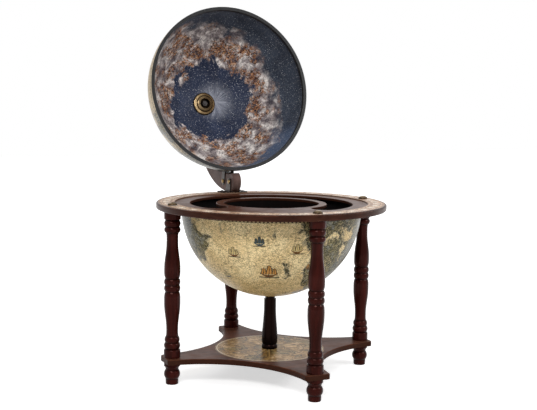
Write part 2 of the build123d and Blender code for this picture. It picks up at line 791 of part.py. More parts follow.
with BuildPart() as pole_cup:
    with BuildSketch(lid_section):
        with BuildLine():
            Line((pole_bolt_r + fit_gap, liner_inner_r), (cup_r, liner_inner_r))
            Line((cup_r, liner_inner_r), (cup_r, cup_seat))
            ThreePointArc(
                (cup_r, cup_seat),
                (cup_r - 0.8, cup_flange + 1),
                (cup_r - 3, cup_flange),
            )
            Line((cup_r - 3, cup_flange), (cup_r - 5.5, cup_flange))
            ThreePointArc(
                (cup_r - 5.5, cup_flange),
                (cup_step_r + 0.8, cup_flange + cup_groove),
                (cup_step_r, cup_flange + cup_groove * 0.7),
            )
            Line((cup_step_r, cup_flange + cup_groove * 0.7), (cup_step_r, cup_mouth + 2))
            ThreePointArc(
                (cup_step_r, cup_mouth + 2),
                (cup_step_r - 0.6, cup_mouth + 0.6),
                (cup_step_r - 2, cup_mouth),
            )
            Line((cup_step_r - 2, cup_mouth), (cup_hole_r + 1, cup_mouth))
            Line((cup_hole_r + 1, cup_mouth), (cup_hole_r, cup_mouth + 1))
            Line((cup_hole_r, cup_mouth + 1), (cup_hole_r, cup_floor))
            Line((cup_hole_r, cup_floor), (pole_bolt_r + fit_gap, cup_floor))
            Line((pole_bolt_r + fit_gap, cup_floor), (pole_bolt_r + fit_gap, liner_inner_r))
        make_face()
    revolve(axis=pole)
    with Locations(lid):
        Sphere(liner_inner_r - fit_gap, mode=Mode.INTERSECT)
pieces["pole_cup"] = pole_cup

with BuildPart() as pole_nut:
    with BuildSketch(lid.offset(cup_floor)):
        RegularPolygon(nut_across / 2, 6, major_radius=False)
        Circle(pole_bolt_r + fit_gap, mode=Mode.SUBTRACT)
    extrude(amount=-nut_height)
pieces["pole_nut"] = pole_nut

with BuildPart() as pole_bolt:
    dome(lid.offset(arc_outer_r), pole_head_r, pole_head_height)
    with Locations(lid.offset(arc_outer_r)):
        Cylinder(
            pole_bolt_r,
            arc_outer_r - cup_floor + nut_height + pole_bolt_end,
            align=(Align.CENTER, Align.CENTER, Align.MAX),
        )
pieces["pole_bolt"] = pole_bolt

for name, piece in pieces.items():
    piece.part.label = name
    export_step(piece.part, f"parts/{name}.step")
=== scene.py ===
"""Tabletop globe bar: the finishes and prints of its pieces, and the stage, lamps and camera."""

import functools
import json
import math

import bpy
from mathutils import Matrix, Vector


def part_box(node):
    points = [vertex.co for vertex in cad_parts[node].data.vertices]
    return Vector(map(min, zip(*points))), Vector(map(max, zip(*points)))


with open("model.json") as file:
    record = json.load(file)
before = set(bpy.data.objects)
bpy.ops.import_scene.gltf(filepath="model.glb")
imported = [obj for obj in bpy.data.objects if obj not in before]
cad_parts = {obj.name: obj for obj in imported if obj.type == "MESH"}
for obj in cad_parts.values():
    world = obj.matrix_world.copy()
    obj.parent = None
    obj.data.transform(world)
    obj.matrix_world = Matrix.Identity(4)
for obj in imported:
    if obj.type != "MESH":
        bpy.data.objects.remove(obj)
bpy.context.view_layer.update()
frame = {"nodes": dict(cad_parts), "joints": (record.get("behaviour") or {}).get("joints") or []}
nodes = frame["nodes"]
MM = 0.001

# Measures of the part, worked out from the frame where it gives them
GLOBE_R = (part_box("bowl_shell")[1][0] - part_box("bowl_shell")[0][0]) / 2
BOWL_CENTRE = Vector((0, 0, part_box("bowl_shell")[0][2] + GLOBE_R))
TABLE_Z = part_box("foot_front")[0][2]
RING_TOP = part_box("horizon_ring")[1][2]
PLATE_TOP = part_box("base_plate")[1][2]
MAP_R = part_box("base_map")[1][0]
RING_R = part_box("horizon_ring")[1][0]
BAND_OUTER_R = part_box("horizon_band")[1][0]
BAND_INNER_R = 177.5 * MM
POST_BOTTOM, POST_TOP = (corner[2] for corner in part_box("post_front"))
SIDES = ("front", "right", "back", "left")

# The lid's half, turned up from its shut place, where its centre is just above the bowl's
LID_GAP = 0.3 * MM
lid_joint = frame["joints"][0]
HINGE = Vector(lid_joint["pos_m"])
LID_TURN = Matrix.Rotation(-math.radians(lid_joint["range_deg"][1]), 3, "X")
LID_CENTRE = HINGE + LID_TURN @ (Vector((0, 0, LID_GAP)) - HINGE)
UPRIGHT = Matrix.Identity(3)

# Radii of the brass cup in the lid, in millimetres
CUP_R = 24.0
CUP_STEP_R = 17.0
CUP_HOLE_R = 10.0

# Heights of the turned grooves in the posts and feet, in millimetres, where shade is painted in
GROOVES_UNDER_POST_TOP = (14.6, 26.6, 37.6)
GROOVES_OVER_POST_BOTTOM = (15.6, 27.6, 38.6)
GROOVES_FROM_POST_MIDDLE = (-12.0, 0.0, 12.0)
GROOVES_OVER_TABLE = (10.5, 26.5)

# The photograph's camera
CAMERA_AZIMUTH = math.radians(24.1)
CAMERA_DISTANCE = 1970.44 * MM
CAMERA_HEIGHT = 212.47 * MM
CAMERA_YAW = math.radians(-0.15)
CAMERA_DOWN = math.radians(6.27)
CAMERA_ROLL = math.radians(-0.71)
FOCAL_PX = 1079.83
IMAGE_WIDTH = 537
SENSOR_MM = 36.0

# Each lamp: name, place, width and height in metres, and watts
LAMPS = (
    ("key", (-1.2, -1.8, 1.5), 1.3, 0.6, 36),
    ("fill", (1.6, -1.3, 0.9), 0.8, 0.5, 17),
    ("back", (0.6, 1.9, 1.4), 1.9, 1.3, 12),
)
LAMP_AIM = Vector((0, 0.05, 0))

# The floor's glow near the part, in reflections and to the camera, and the distances between
# which it rises to white. The world lights the part at WORLD_LIGHT, and shows as white.
FLOOR_SIZE = 12.0
FLOOR_GLOW = 0.40
FLOOR_GLOW_DIRECT = 0.60
FLOOR_GLOW_FROM = 0.35
FLOOR_GLOW_TO = 1.9
WORLD_LIGHT = 0.36
WHITE = (1, 1, 1, 1)

# The factor and colour sockets of a Mix node, which has a set for each kind of data
MIX_COLOUR_INPUTS = (0, 6, 7)
MIX_COLOUR_OUTPUT = 2


def rgb(red, green, blue):
    """A display (sRGB) colour in 0 to 255, as the linear colour that shaders take."""

    def linear(level):
        level /= 255
        return level / 12.92 if level <= 0.04045 else ((level + 0.055) / 1.055) ** 2.4

    return (linear(red), linear(green), linear(blue), 1.0)


# Wood
RED_LACQUER = (1.0, 0.46, 0.40, 1.0)  # tints the highlights
RUBBED = rgb(96, 56, 40)
BARE_WOOD = rgb(134, 106, 88)

# Prints
PRINT_SHINE = 0.12
PEN = rgb(96, 76, 44)
BOWL_PAPER = (rgb(250, 228, 176), rgb(226, 198, 144))
LID_PAPER = (rgb(232, 210, 170), rgb(206, 181, 140))
BOWL_SEA_LONGITUDE = -114.1
LID_SEA_LONGITUDE = 212.0
COAST = 0.587  # the height of the made-up land at which the sea begins
MAP_NOISE_SHIFT = (2.31, 0.77, 1.94)
SKY_NOISE_SHIFT = (3.17, 1.43, 2.71)
MERIDIANS = 12
DEGREE_MARKS = 150
DEGREES_LEVEL = 8.9  # millimetres from the globe's rim to the middle of its scale of degrees
AMBER = rgb(196, 140, 70)
UMBER = rgb(110, 74, 42)
SLATE = rgb(66, 80, 82)
CREAM = rgb(214, 190, 130)

# Each ship: longitude and latitude in degrees, half length in millimetres, hull and sail colours
BOWL_SHIPS = (
    (-25.0, -23.0, 12.0, UMBER, CREAM),
    (-1.0, -37.0, 18.0, UMBER, AMBER),
    (17.0, -20.0, 12.0, UMBER, CREAM),
    (-7.0, -15.0, 11.0, SLATE, SLATE),
    (-38.0, -42.0, 8.5, SLATE, CREAM),
    (30.0, -33.0, 10.0, UMBER, AMBER),
    (150.0, -22.0, 9.0, UMBER, AMBER),
    (205.0, -30.0, 8.0, SLATE, CREAM),
)
LID_SHIPS = (
    (-60.0, 24.0, 9.0, UMBER, CREAM),
    (18.0, 36.0, 10.0, UMBER, AMBER),
    (130.0, 28.0, 9.0, SLATE, CREAM),
    (-24.0, 46.0, 8.0, UMBER, AMBER),
)

# The masts of a ship, in halves of its length: place along the hull, height, half sail width
MASTS = ((-0.52, 0.46, 0.22), (0.02, 0.78, 0.27), (0.52, 0.40, 0.19))
SAIL_FOOT = -0.30

# The stars of the night sky, largest first: density, radii of core and edge, and brightness
STARS = (
    (17.0, 0.04, 0.09, 0.9),
    (34.0, 0.09, 0.17, 0.85),
    (70.0, 0.12, 0.28, 0.35),
)
SKY_CIRCLES = 6
SKY_RAYS = 24

# How often the marks of the calendar band and of the base map go round
BAND_FIELDS = 36
BAND_FINE_MARKS = 180
BAND_MARKS = 72
BAND_PANELS = 12
BAND_FIELDS_LEVEL = 14.5  # millimetres from the band's inner edge to the middle of its fields
MAP_WEDGES = 8
MAP_MARKS = 72
RHUMB_LINES = 32
ROSE_POINTS = 16


class Graph:
    """A node tree. Each method adds nodes to it and returns their output socket."""

    def __init__(self, tree):
        self.tree = tree

    def feed(self, socket, value):
        """Links a socket to the one given, or sets it to the constant given."""
        if isinstance(value, bpy.types.NodeSocket):
            self.tree.links.new(value, socket)
        else:
            socket.default_value = value

    def add(self, kind, output=0, operation=None, **inputs):
        """Adds a node and feeds its inputs by name, with _ for each space."""
        node = self.tree.nodes.new(kind)
        if operation:
            node.operation = operation
        for key, value in inputs.items():
            self.feed(node.inputs[key.replace("_", " ")], value)
        return node.outputs[output]

    def operate(self, kind, operation, values, output):
        """Adds a node for an operation and feeds its inputs in order."""
        node = self.tree.nodes.new(kind)
        node.operation = operation
        for socket, value in zip(node.inputs, values):
            self.feed(socket, value)
        return node.outputs[output]

    def math(self, operation, *values):
        return self.operate("ShaderNodeMath", operation, values, 0)

    def vector(self, operation, *values):
        return self.operate("ShaderNodeVectorMath", operation, values, "Vector")

    def length(self, vector):
        return self.operate("ShaderNodeVectorMath", "LENGTH", (vector,), "Value")

    def dot(self, first, second):
        return self.operate("ShaderNodeVectorMath", "DOT_PRODUCT", (first, second), "Value")

    def stretch(self, point, factors):
        return self.vector("MULTIPLY", point, factors)

    def plus(self, first, second):
        return self.math("ADD", first, second)

    def minus(self, first, second):
        return self.math("SUBTRACT", first, second)

    def times(self, first, second):
        return self.math("MULTIPLY", first, second)

    def divide(self, first, second):
        return self.math("DIVIDE", first, second)

    def both(self, first, second):
        """The part of one mask that lies in the other."""
        return self.times(first, second)

    def either(self, *masks):
        """All of the masks together."""
        return functools.reduce(lambda first, second: self.math("MAXIMUM", first, second), masks)

    def turns(self, y, x):
        """The angle of a direction, in turns."""
        return self.divide(self.math("ARCTAN2", y, x), 2 * math.pi)

    def repeat(self, value, count):
        """How far value lies through its part, 0 to 1, where 1 is split into count parts."""
        return self.math("FRACT", self.times(value, float(count)))

    def noise(self, point, scale, detail=4.0, roughness=0.55, distortion=0.0):
        return self.add(
            "ShaderNodeTexNoise",
            Vector=point,
            Scale=scale,
            Detail=detail,
            Roughness=roughness,
            Distortion=distortion,
        )

    def cells(self, point, scale):
        """The distance to the nearest of a field of scattered points."""
        return self.add("ShaderNodeTexVoronoi", output="Distance", Vector=point, Scale=scale)

    def fade(self, value, low, high, start=0.0, end=1.0):
        """A smooth step of value from low to high, as a number from start to end."""
        node = self.tree.nodes.new("ShaderNodeMapRange")
        node.interpolation_type = "SMOOTHSTEP"
        for key, number in (
            ("Value", value),
            ("From Min", low),
            ("From Max", high),
            ("To Min", start),
            ("To Max", end),
        ):
            self.feed(node.inputs[key], number)
        return node.outputs[0]

    def band(self, value, middle, half_width, soft):
        """1 where value is within half_width of middle, fading to 0 over soft."""
        away = self.math("ABSOLUTE", self.minus(value, middle))
        return self.fade(away, half_width, half_width + soft, 1.0, 0.0)

    def mix(self, factor, first, second):
        """The first colour, with the second laid over it as far as factor says."""
        node = self.tree.nodes.new("ShaderNodeMix")
        node.data_type = "RGBA"
        node.clamp_factor = True
        for index, value in zip(MIX_COLOUR_INPUTS, (factor, first, second)):
            self.feed(node.inputs[index], value)
        return node.outputs[MIX_COLOUR_OUTPUT]

    def ramp(self, value, *stops):
        """A colour ramp. Each stop is (place, colour)."""
        node = self.tree.nodes.new("ShaderNodeValToRGB")
        elements = node.color_ramp.elements
        while len(elements) < len(stops):
            elements.new(0.5)
        for element, (place, colour) in zip(elements, stops):
            element.position = place
            element.color = colour
        self.feed(node.inputs[0], value)
        return node.outputs[0]

    def bump(self, height, distance, strength):
        return self.add("ShaderNodeBump", Height=height, Distance=distance, Strength=strength)


class Surface(Graph):
    """A new material's node tree, round its Principled shader. point is the place on the piece."""

    def __init__(self, name):
        self.material = bpy.data.materials.new(name)
        self.material.use_nodes = True
        super().__init__(self.material.node_tree)
        self.shader = self.tree.nodes["Principled BSDF"]
        self.point = self.add("ShaderNodeTexCoord", output="Object")

    def finish(self, **inputs):
        """Feeds the shader's inputs and returns the material."""
        for key, value in inputs.items():
            self.feed(self.shader.inputs[key.replace("_", " ")], value)
        return self.material


def coordinates(graph):
    """The X, Y and Z of a point of a piece."""
    parts = graph.tree.nodes.new("ShaderNodeSeparateXYZ")
    graph.feed(parts.inputs[0], graph.point)
    return parts.outputs


def axis_distance(graph):
    """The distance of a point from the stand's upright axis."""
    return graph.length(graph.stretch(graph.point, (1, 1, 0)))


def blocks(graph, turns, count, soft=0.04):
    """Alternate 0 and 1 round the circle, count pairs of them."""
    return graph.band(graph.repeat(turns, count), 0.25, 0.25 - soft, soft)


def lacquered_wood(name, deep, warm, grain, roughness, shine=0.12, worn=None, painted_shade=None, bare=None):
    """Stained wood under lacquer.

    grain is how often the figure repeats along x, y and z. worn(graph) gives the mask of edges
    where the stain is rubbed thin, cut(graph) the mask of sawn edges and grooves that are darkened
    with painted shade, and bare(graph) the mask of wood left pale.
    """
    g = Surface(name)
    along = g.stretch(g.point, grain)
    figure = g.noise(along, 1.0, 5.0, 0.6, 0.8)
    pores = g.noise(g.stretch(along, (5, 5, 5)), 1.0, 3.0, 0.7)
    cloud = g.noise(g.point, 9.0, 3.0)
    colour = g.ramp(figure, (0.30, deep), (0.72, warm))
    colour = g.mix(g.fade(pores, 0.52, 0.75, 0.0, 0.5), colour, deep)
    colour = g.mix(g.fade(cloud, 0.35, 0.75, 0.0, 0.3), colour, warm)
    smudges = g.noise(g.point, 28.0, 5.0, 0.7)
    # Painted shade: the masked grooves and sawn edges are darkened to the deep tone
    if painted_shade:
        colour = g.mix(painted_shade(g), colour, deep)
    if worn:
        rubbed = g.both(worn(g), g.fade(smudges, 0.40, 0.62, 0.0, 0.45))
        colour = g.mix(rubbed, colour, RUBBED)
    if bare:
        colour = g.mix(bare(g), colour, BARE_WOOD)
    return g.finish(
        Base_Color=colour,
        Roughness=g.fade(smudges, 0.3, 0.8, roughness - 0.05, roughness + 0.10),
        Normal=g.bump(pores, 0.00012, 0.35),
        Specular_IOR_Level=shine,
        Specular_Tint=RED_LACQUER,
    )


def stained(g, bright, dull, tarnish=0.5):
    """The pattern of stains on worn metal, and its colour."""
    stain = g.noise(g.point, 180.0, 5.0, 0.65, 0.4)
    return stain, g.mix(g.fade(stain, 0.42, 0.72, 0.0, tarnish), bright, dull)


def metal(name, bright, dull, roughness, metallic=1.0, tarnish=0.5):
    """Worn metal with stains and fine scratches."""
    g = Surface(name)
    stain, colour = stained(g, bright, dull, tarnish)
    scratch = g.noise(g.stretch(g.point, (900, 900, 90)), 1.0, 3.0)
    return g.finish(
        Base_Color=colour,
        Metallic=metallic,
        Roughness=g.fade(stain, 0.3, 0.8, roughness - 0.07, roughness + 0.14),
        Normal=g.bump(scratch, 0.00004, 0.4),
    )


def plain(name, colour, second, scale, roughness, shine):
    """A matt or satin surface with a fine mottle."""
    g = Surface(name)
    mottle = g.noise(g.point, scale, 5.0, 0.65)
    return g.finish(
        Base_Color=g.mix(g.fade(mottle, 0.35, 0.7), colour, second),
        Roughness=g.fade(mottle, 0.3, 0.75, roughness - 0.06, roughness + 0.08),
        Normal=g.bump(mottle, 0.0001, 0.5),
        Specular_IOR_Level=shine,
    )


def brass_cap_painted_shade(name):
    """A stained brass cap, darkened with painted shade round its base just above the ring."""
    g = Surface(name)
    stain, colour = stained(g, rgb(122, 106, 84), rgb(66, 54, 42))
    height = coordinates(g)["Z"]
    # Painted shade on the lowest part of the cap, just above the ring's top
    foot = g.fade(height, RING_TOP + 1.6 * MM, RING_TOP + 3.8 * MM, 0.9, 0.0)
    return g.finish(
        Base_Color=g.mix(foot, colour, rgb(40, 24, 16)),
        Metallic=1.0,
        Roughness=g.fade(stain, 0.3, 0.8, 0.26, 0.44),
    )


def brass_cup_painted_light(name):
    """The brass cup at the lid's pole, with painted light and shade: paler on its left and darker
    to its right, with painted shade in its hole, on its step and round its outer edge.
    """
    g = Surface(name)
    away = g.vector("SUBTRACT", g.point, tuple(LID_CENTRE))
    pole = tuple(LID_TURN @ Vector((0, 0, 1)))
    height = g.dot(away, pole)
    on_axis = g.add("ShaderNodeVectorMath", operation="SCALE", Vector=pole, Scale=height)
    radius = g.divide(g.length(g.vector("SUBTRACT", away, on_axis)), MM)
    stain = g.noise(g.point, 120.0, 5.0, 0.65, 0.4)
    colour = g.mix(g.fade(stain, 0.38, 0.62, 0.0, 0.6), rgb(190, 164, 124), rgb(82, 64, 42))
    # Painted light and shade: the brass darkens from the cup's left to its right
    across = g.dot(away, tuple(LID_TURN @ Vector((1, 0, 0))))
    colour = g.mix(g.fade(across, -20.0 * MM, 8.0 * MM, 0.0, 0.85), colour, rgb(62, 44, 24))
    # Painted shade: dark in the hole, darker on the step and round the outer edge
    hollow = g.fade(radius, CUP_HOLE_R, CUP_HOLE_R + 1.2, 1.0, 0.0)
    step = g.fade(radius, CUP_STEP_R - 2.0, CUP_STEP_R + 1.0, 0.5, 0.0)
    rim = g.fade(radius, CUP_R - 1.0, CUP_R - 0.1, 0.0, 0.7)
    return g.finish(
        Base_Color=g.mix(g.either(hollow, step, rim), colour, rgb(24, 18, 13)),
        Metallic=1.0,
        Roughness=g.fade(stain, 0.3, 0.8, 0.20, 0.38),
        Normal=g.bump(g.noise(g.point, 900.0, 2.0), 0.00003, 0.3),
    )


def ship_group():
    """A node group that draws a small sailing ship on a printed map.

    It takes the surface point, the ship's centre, two directions along the surface and half the
    ship's length, and gives masks of the hull, the sails and the pen's lines. Inside, u runs
    along the ship and v up it, and half the ship's length is 1.
    """
    group = bpy.data.node_groups.new("ship", "ShaderNodeTree")
    for label, kind in (
        ("Point", "NodeSocketVector"),
        ("Centre", "NodeSocketVector"),
        ("Across", "NodeSocketVector"),
        ("Up", "NodeSocketVector"),
        ("Size", "NodeSocketFloat"),
    ):
        group.interface.new_socket(label, in_out="INPUT", socket_type=kind)
    for label in ("Hull", "Sails", "Ink"):
        group.interface.new_socket(label, in_out="OUTPUT", socket_type="NodeSocketFloat")
    g = Graph(group)
    given = group.nodes.new("NodeGroupInput")
    result = group.nodes.new("NodeGroupOutput")
    point, centre, across, up, size = given.outputs[:5]
    away = g.vector("SUBTRACT", point, centre)
    wobble = g.times(g.minus(g.noise(point, 420.0, 3.0), 0.5), 0.18)  # as if drawn by hand
    u = g.plus(g.divide(g.dot(away, across), size), wobble)
    v = g.plus(g.divide(g.dot(away, up), size), wobble)

    # The hull is a crescent, higher at both ends
    bend = g.times(g.math("POWER", g.math("ABSOLUTE", u), 2.0), 0.36)
    deck = g.plus(bend, -0.42)
    keel = g.plus(g.times(bend, 2.1), -0.80)
    inside = g.both(
        g.fade(g.minus(deck, v), -0.02, 0.05),
        g.fade(g.minus(v, keel), -0.02, 0.05),
    )
    hull = g.both(inside, g.band(u, 0.0, 0.92, 0.06))

    # Each mast carries a bellied sail that narrows upwards
    sails = []
    lines = []
    for place, height, half_width in MASTS:
        belly = g.times(g.minus(v, height * 0.35), 0.35)
        side = g.plus(g.minus(u, place), g.times(belly, belly))
        reach = g.plus(g.times(v, -0.16), half_width)
        to_edge = g.minus(reach, g.math("ABSOLUTE", side))
        middle = (height + SAIL_FOOT) / 2
        half_height = (height - SAIL_FOOT) / 2
        sails.append(g.both(g.fade(to_edge, -0.02, 0.04), g.band(v, middle, half_height, 0.04)))
        outline = g.band(v, middle, half_height + 0.02, 0.04)
        edge = g.both(g.band(to_edge, 0.0, 0.03, 0.05), outline)
        mast = g.both(g.band(side, 0.0, 0.025, 0.03), g.band(v, 0.12, height - 0.02, 0.05))
        lines += [edge, mast]
    lines.append(g.both(g.band(v, -0.80, 0.05, 0.06), g.band(u, 0.0, 0.95, 0.1)))
    for socket, mask in zip(result.inputs, (hull, g.either(*sails), g.either(*lines))):
        g.feed(socket, mask)
    return group


SHIP = ship_group()


def draw_ships(g, colour, centre, turn, facing, ships):
    """Lays a map's ships over a colour. See antique_map for the other arguments."""
    pole = turn @ Vector((0, 0, 1))
    for longitude, latitude, half_length, hull_colour, sail_colour in ships:
        lon = math.radians(longitude + facing)
        lat = math.radians(latitude)
        outward = turn @ Vector(
            (math.cos(lat) * math.cos(lon), math.cos(lat) * math.sin(lon), math.sin(lat))
        )
        east = pole.cross(outward).normalized()
        north = outward.cross(east).normalized()
        ship = g.tree.nodes.new("ShaderNodeGroup")
        ship.node_tree = SHIP
        for key, value in (
            ("Point", g.point),
            ("Centre", tuple(centre + outward * GLOBE_R)),
            ("Across", tuple(east)),
            ("Up", tuple(north)),
            ("Size", half_length * MM),
        ):
            g.feed(ship.inputs[key], value)
        colour = g.mix(ship.outputs["Sails"], colour, sail_colour)
        colour = g.mix(ship.outputs["Hull"], colour, hull_colour)
        colour = g.mix(g.times(ship.outputs["Ink"], 0.9), colour, rgb(44, 38, 30))
    return colour


def map_relief(g, outward, front, side, latitude):
    """The made-up land of a map: its height, which is sea below COAST, and its inland tone."""
    # Land rises round the sides and back, and the open sea lies in front
    other_side = g.times(side, -1.0)
    warp = g.noise(g.vector("ADD", outward, MAP_NOISE_SHIFT), 2.7, 8.0, 0.60, 0.35)
    flanks = g.fade(g.either(g.plus(side, 0.33), other_side), 0.55, 0.90, -0.085, 0.16)
    behind = g.fade(front, -0.2, 0.3, 0.09, 0.0)
    headland = g.both(g.band(side, 0.40, 0.09, 0.10), g.fade(latitude, -0.46, -0.24, 0.0, 0.15))
    height = g.plus(g.plus(warp, headland), g.plus(flanks, behind))

    # Far out on both sides the land is grey-blue
    far_side = g.plus(g.plus(side, g.times(g.math("ABSOLUTE", latitude), 0.5)), -0.14)
    grey = g.fade(g.either(far_side, other_side), 0.80, 0.92, 0.0, 0.20)
    return height, g.minus(g.noise(outward, 6.5, 6.0, 0.66), grey)


def engrave(g, colour, light, outward, height, inland, land):
    """Lays a map's drawing over a colour. light is the paper's light tone."""
    # Pen strokes over sea and land, with the paper showing between them
    strokes = g.noise(g.stretch(outward, (1, 1, 1.7)), 46.0, 3.0, 0.62, 1.5)
    weight = g.fade(g.noise(outward, 5.0, 3.0), 0.3, 0.7, 0.50, 0.80)
    colour = g.mix(g.both(g.fade(strokes, 0.475, 0.56), weight), colour, PEN)
    colour = g.mix(g.fade(strokes, 0.34, 0.45, 0.6, 0.0), colour, light)

    # A tangle of finer drawing along the coasts, and hatching on the green land
    drawn = g.band(g.noise(outward, 15.0, 6.0, 0.66, 1.8), 0.5, 0.022, 0.020)
    near_coast = g.fade(height, COAST - 0.052, COAST + 0.013)
    coastal = g.both(near_coast, g.fade(inland, 0.38, 0.44, 0.3, 0.95))
    colour = g.mix(g.both(drawn, coastal), colour, rgb(40, 42, 34))
    hatching = g.fade(g.noise(outward, 40.0, 3.0, 0.7, 1.2), 0.47, 0.55)
    green_land = g.both(land, g.fade(inland, 0.40, 0.45, 0.0, 0.8))
    colour = g.mix(g.both(hatching, green_land), colour, rgb(52, 54, 38))

    # The coast's own line, and a softer one in the sea along it
    shallows = g.band(height, COAST - 0.017, 0.012, 0.010)
    colour = g.mix(g.times(shallows, 0.45), colour, rgb(66, 76, 74))
    shore = g.band(height, COAST, 0.0045, 0.005)
    return g.mix(g.times(shore, 0.9), colour, rgb(34, 38, 36))


def map_lines(g, colour, latitude, turns):
    """Lays a map's meridians over a colour, and a scale of degrees along the globe's rim."""
    meridian = g.band(g.repeat(turns, MERIDIANS), 0.5, 0.004, 0.006)
    colour = g.mix(g.times(meridian, 0.35), colour, rgb(84, 68, 44))
    level = g.math("ABSOLUTE", g.times(latitude, GLOBE_R / MM))  # millimetres from the rim
    strip = g.band(level, DEGREES_LEVEL, 0.8, 0.3)
    colour = g.mix(strip, colour, rgb(186, 164, 120))
    colour = g.mix(g.both(blocks(g, turns, DEGREE_MARKS), strip), colour, rgb(58, 44, 32))
    rails = g.either(
        g.band(level, DEGREES_LEVEL - 1.3, 0.25, 0.3),
        g.band(level, DEGREES_LEVEL + 1.3, 0.25, 0.3),
    )
    return g.mix(rails, colour, rgb(52, 40, 28))


def antique_map(name, centre, turn, facing, paper, ships):
    """A printed old-style map on half a globe, with a near-black inside.

    turn takes the upright globe to the piece. facing is the longitude, in degrees, of the open
    sea's middle, and the ships' longitudes are counted from it. paper is a light and a dark tone.
    """
    g = Surface(name)
    pole = turn @ Vector((0, 0, 1))
    ahead = turn @ Vector((math.cos(math.radians(facing)), math.sin(math.radians(facing)), 0))
    from_centre = g.vector("SUBTRACT", g.point, tuple(centre))
    outward = g.vector("NORMALIZE", from_centre)
    latitude = g.math("ARCSINE", g.dot(outward, tuple(pole)))
    front = g.dot(outward, tuple(ahead))
    side = g.dot(outward, tuple(pole.cross(ahead)))

    # Paper, more yellowed away from the rim
    light, shade = paper
    tone = g.noise(outward, 4.2, 5.0, 0.6)
    colour = g.mix(g.fade(tone, 0.36, 0.66), shade, light)
    aged = g.fade(g.math("ABSOLUTE", latitude), 0.55, 1.35, 0.0, 0.5)
    colour = g.mix(aged, colour, rgb(218, 180, 108))

    height, inland = map_relief(g, outward, front, side, latitude)
    land = g.fade(height, COAST - 0.002, COAST + 0.003)
    ground = g.ramp(
        inland,
        (0.32, rgb(96, 108, 112)),
        (0.40, rgb(124, 132, 128)),
        (0.45, rgb(134, 128, 86)),
        (0.60, rgb(200, 180, 128)),
    )
    colour = g.mix(g.times(land, 0.92), colour, ground)
    colour = engrave(g, colour, light, outward, height, inland, land)
    colour = map_lines(g, colour, latitude, g.turns(side, front))
    colour = draw_ships(g, colour, centre, turn, facing, ships)

    # The shell's inside is near-black
    inside = g.fade(g.length(from_centre), GLOBE_R - 2.0 * MM, GLOBE_R - 1.5 * MM, 1.0, 0.0)
    satin = g.fade(g.noise(g.point, 22.0, 4.0), 0.3, 0.75, 0.26, 0.38)
    crazing = g.noise(g.point, 340.0, 3.0, 0.6)
    return g.finish(
        Base_Color=g.mix(inside, colour, rgb(10, 7, 7)),
        Roughness=g.either(satin, g.times(inside, 0.9)),
        Normal=g.bump(crazing, 0.00005, 0.4),
        Specular_IOR_Level=PRINT_SHINE,
    )


def sky_background(g, outward, place, reach, y, source):
    """Navy round the pole and charcoal beyond, with beams of light from source."""
    haze = g.noise(place, 2.6, 6.0, 0.6, 0.6)
    navy = g.ramp(haze, (0.30, rgb(34, 40, 59)), (0.70, rgb(54, 63, 87)))
    charcoal = g.ramp(haze, (0.30, rgb(46, 52, 64)), (0.70, rgb(72, 80, 94)))
    dusk = g.mix(g.fade(y, 0.36, 0.62, 0.0, 0.75), charcoal, rgb(86, 104, 134))
    colour = g.mix(g.fade(reach, 0.45, 0.62), navy, dusk)
    from_source = g.vector("SUBTRACT", outward, tuple(source))
    halo = g.fade(g.length(from_source), 0.02, 0.32, 0.90, 0.0)
    beams = g.noise(g.vector("NORMALIZE", from_source), 11.0, 3.0, 0.7)
    glow = g.both(halo, g.fade(beams, 0.36, 0.62, 0.30, 1.0))
    return g.mix(glow, colour, rgb(184, 188, 200))


def lay_clouds(g, colour, place, wreath, billow):
    """Lays the wreath's clouds over a colour, with warm lights, dark specks and folds in them."""
    cloud = g.ramp(
        billow,
        (0.34, rgb(56, 51, 58)),
        (0.43, rgb(118, 109, 112)),
        (0.51, rgb(174, 163, 161)),
        (0.60, rgb(246, 239, 234)),
    )
    colour = g.mix(wreath, colour, cloud)
    region = g.both(g.fade(g.noise(place, 3.9, 4.0, 0.6), 0.46, 0.54), wreath)
    warm = g.both(g.fade(g.noise(place, 24.0, 5.0, 0.74, 0.9), 0.45, 0.53), region)
    amber = g.ramp(
        g.noise(place, 19.0, 4.0, 0.65),
        (0.38, rgb(86, 54, 36)),
        (0.48, rgb(166, 104, 62)),
        (0.58, rgb(222, 160, 106)),
        (0.66, rgb(248, 226, 202)),
    )
    colour = g.mix(g.times(warm, 0.9), colour, amber)
    specks = g.both(g.fade(g.noise(place, 52.0, 4.0, 0.7, 0.6), 0.50, 0.57), region)
    colour = g.mix(g.times(specks, 0.92), colour, rgb(32, 25, 26))
    folds = g.band(g.noise(place, 9.0, 6.0, 0.68, 1.4), 0.5, 0.010, 0.014)
    return g.mix(g.both(folds, g.times(wreath, 0.7)), colour, rgb(36, 32, 38))


def lay_stars(g, colour, place, reach, turns, wreath):
    """Lays faint chart lines outside the wreath over a colour, and stars that are dimmer in it."""
    circles = g.band(g.repeat(reach, SKY_CIRCLES), 0.5, 0.006, 0.012)
    rays = g.band(g.repeat(turns, SKY_RAYS), 0.5, 0.008, 0.014)
    chart = g.both(g.either(circles, rays), g.fade(wreath, 0.2, 0.7, 0.06, 0.0))
    colour = g.mix(chart, colour, rgb(196, 190, 170))
    stars = [
        g.fade(g.cells(place, density), core, edge, brightness, 0.0)
        for density, core, edge, brightness in STARS
    ]
    stars = g.both(g.either(*stars), g.fade(wreath, 0.1, 0.8, 1.0, 0.2))
    return g.mix(stars, colour, rgb(228, 230, 236))


